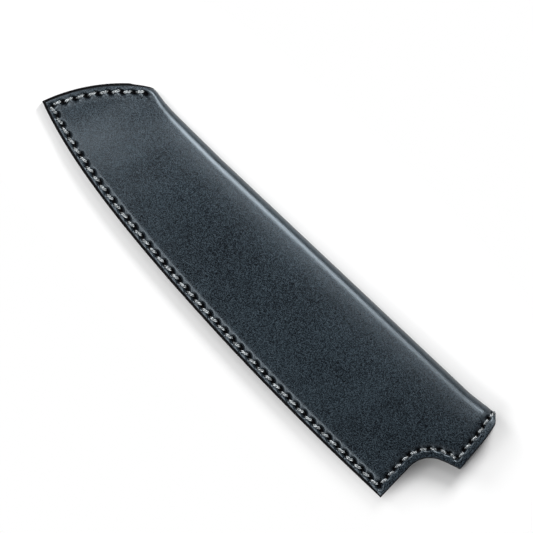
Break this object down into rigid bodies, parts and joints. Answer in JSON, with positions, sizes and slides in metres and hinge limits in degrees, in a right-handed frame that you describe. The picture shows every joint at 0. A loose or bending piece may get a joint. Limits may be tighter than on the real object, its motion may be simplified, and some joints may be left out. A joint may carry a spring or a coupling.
{
  "type": "knife blade guard",
  "caption": "Black leather slip-on guard for a kitchen knife blade, folded along the spine and sewn round the edge and nose, with an open stepped mouth.",
  "frame": {"origin": "on the flat back face, under the middle of the overall length and width", "axes": "+X from the nose to the open mouth, +Y from the sewn cutting edge to the folded spine, +Z out of the front panel"},
  "size_m": [0.21, 0.0539, 0.0094],
  "materials": {
    "shell_leather": "smooth black leather with a fine grain and a soft sheen",
    "lining_leather": "thin matt black leather",
    "welt_leather": "matt black leather with painted edges",
    "thread": "waxed black twisted thread"
  },
  "bodies": {
    "root": {"outer_shell": "shell_leather", "lining": "lining_leather", "edge_welt": "welt_leather", "nose_welt": "welt_leather", "closing_thread_front": "thread", "closing_thread_back": "thread", "mouth_thread_outer": "thread", "mouth_thread_inner": "thread"}
  },
  "joints": []
}
